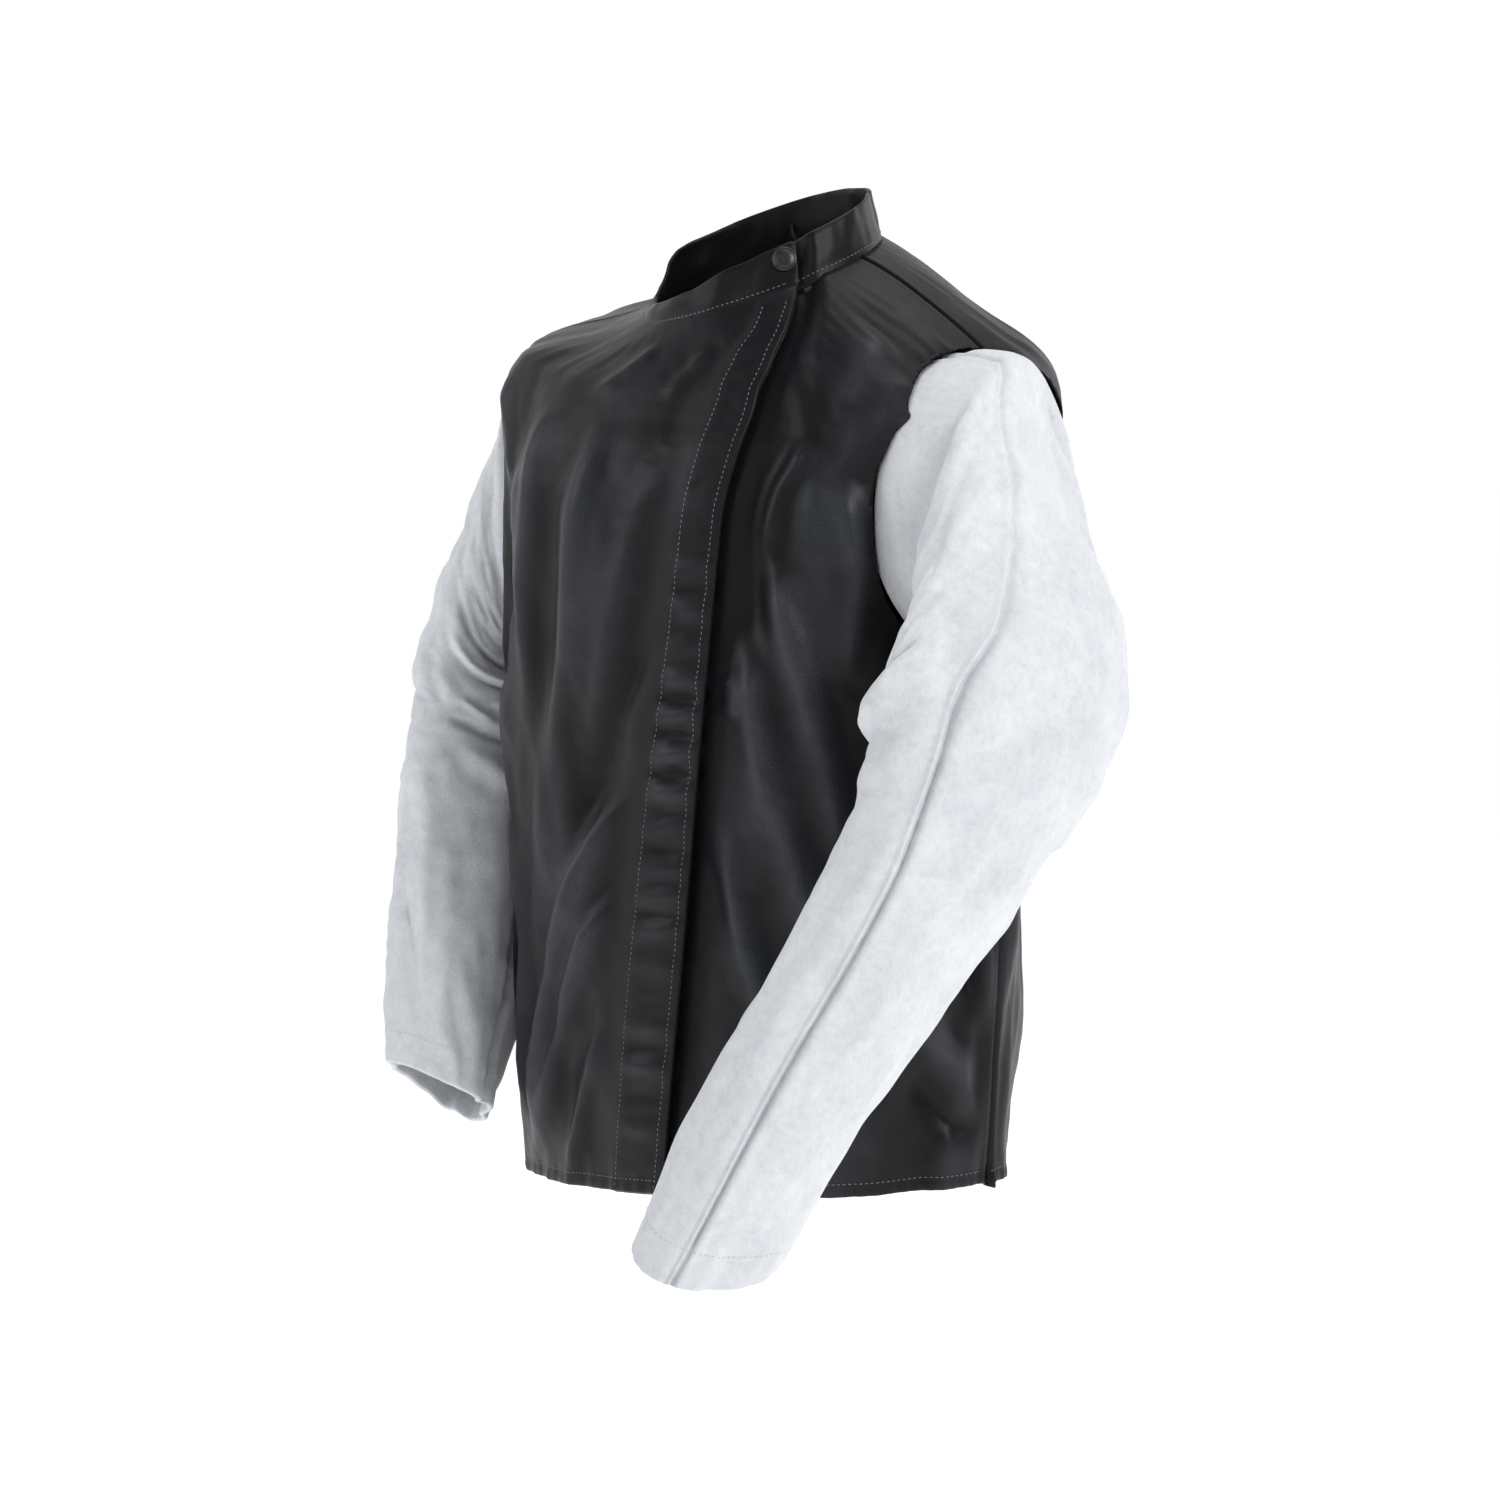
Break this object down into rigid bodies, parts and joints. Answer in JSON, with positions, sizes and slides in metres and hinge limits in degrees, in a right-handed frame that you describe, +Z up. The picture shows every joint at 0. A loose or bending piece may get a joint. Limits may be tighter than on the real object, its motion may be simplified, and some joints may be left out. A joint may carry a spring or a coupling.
{
  "type": "welding jacket",
  "caption": "Welding jacket: black cotton body with stand collar and concealed snap front, grey split-leather sleeves that bend at the elbows, fronts that open.",
  "frame": {"origin": "the hanger loop's middle, inside the back of the neck, from which the jacket hangs", "axes": "+Z up, +X to the wearer's left, -Y to the wearer's front"},
  "size_m": [0.7005, 0.4778, 0.8115],
  "materials": {
    "body_cotton": "black satin-faced cotton",
    "lining_cotton": "black plain cotton",
    "sleeve_leather": "light grey split leather with a napped face",
    "snap_dark": "dark lacquered",
    "snap_steel": "nickel plated"
  },
  "bodies": {
    "torso": {"back_hem_facing": "lining_cotton", "back_panel": "body_cotton", "collar_back": "body_cotton", "collar_left_fold": "body_cotton", "collar_right_fold": "body_cotton", "hanger_loop": "lining_cotton", "left_front_fold": "body_cotton", "left_front_panel": "body_cotton", "left_hem_facing": "lining_cotton", "left_sleeve_elbow_back": "sleeve_leather", "left_sleeve_elbow_front": "sleeve_leather", "left_sleeve_upper_back": "sleeve_leather", "left_sleeve_upper_front": "sleeve_leather", "right_front_fold": "body_cotton", "right_front_panel": "body_cotton", "right_hem_facing": "lining_cotton", "right_sleeve_elbow_back": "sleeve_leather", "right_sleeve_elbow_front": "sleeve_leather", "right_sleeve_upper_back": "sleeve_leather", "right_sleeve_upper_front": "sleeve_leather"},
    "right_front": {"collar_right": "body_cotton", "collar_snap_cap": "snap_dark", "collar_snap_socket": "snap_steel", "front_placket": "body_cotton", "front_snap_1_cap": "snap_steel", "front_snap_1_socket": "snap_steel", "front_snap_2_cap": "snap_steel", "front_snap_2_socket": "snap_steel", "front_snap_3_cap": "snap_steel", "front_snap_3_socket": "snap_steel", "front_snap_4_cap": "snap_steel", "front_snap_4_socket": "snap_steel", "front_snap_5_cap": "snap_steel", "front_snap_5_socket": "snap_steel", "placket_facing": "lining_cotton", "right_front_flap": "body_cotton"},
    "left_front": {"collar_left": "body_cotton", "collar_snap_post": "snap_steel", "collar_snap_stud": "snap_steel", "front_snap_1_post": "snap_steel", "front_snap_1_stud": "snap_steel", "front_snap_2_post": "snap_steel", "front_snap_2_stud": "snap_steel", "front_snap_3_post": "snap_steel", "front_snap_3_stud": "snap_steel", "front_snap_4_post": "snap_steel", "front_snap_4_stud": "snap_steel", "front_snap_5_post": "snap_steel", "front_snap_5_stud": "snap_steel", "left_front_flap": "body_cotton", "underlap_facing": "lining_cotton"},
    "left_forearm": {"left_cuff_facing_back": "lining_cotton", "left_cuff_facing_front": "lining_cotton", "left_forearm_back": "sleeve_leather", "left_forearm_front": "sleeve_leather"},
    "right_forearm": {"right_cuff_facing_back": "lining_cotton", "right_cuff_facing_front": "lining_cotton", "right_forearm_back": "sleeve_leather", "right_forearm_front": "sleeve_leather"}
  },
  "joints": [
    {"name": "right_front_opening", "type": "hinge", "parent": "torso", "child": "right_front", "pos_m": [-0.0865, -0.182, -0.386], "axis": [-0.0739, -0.0663, -0.9951], "range_deg": [0, 70], "deforming": ["right_front_fold", "collar_right_fold"]},
    {"name": "left_front_opening", "type": "hinge", "parent": "torso", "child": "left_front", "pos_m": [0.128, -0.143, -0.3685], "axis": [-0.0685, 0.1084, 0.9917], "range_deg": [0, 21], "deforming": ["left_front_fold", "collar_left_fold"]},
    {"name": "left_elbow_bend", "type": "hinge", "parent": "torso", "child": "left_forearm", "pos_m": [0.2831, -0.1934, -0.3793], "axis": [-0.8487, 0.4488, -0.2799], "range_deg": [-12, 50], "deforming": ["left_sleeve_elbow_front", "left_sleeve_elbow_back"]},
    {"name": "right_elbow_bend", "type": "hinge", "parent": "torso", "child": "right_forearm", "pos_m": [-0.2986, -0.1005, -0.4059], "axis": [-0.9476, -0.2493, 0.1995], "range_deg": [-12, 50], "deforming": ["right_sleeve_elbow_front", "right_sleeve_elbow_back"]}
  ],
  "couplings": [
    {"joint": "left_front_opening", "follows": "right_front_opening", "ratio": 0.3}
  ]
}
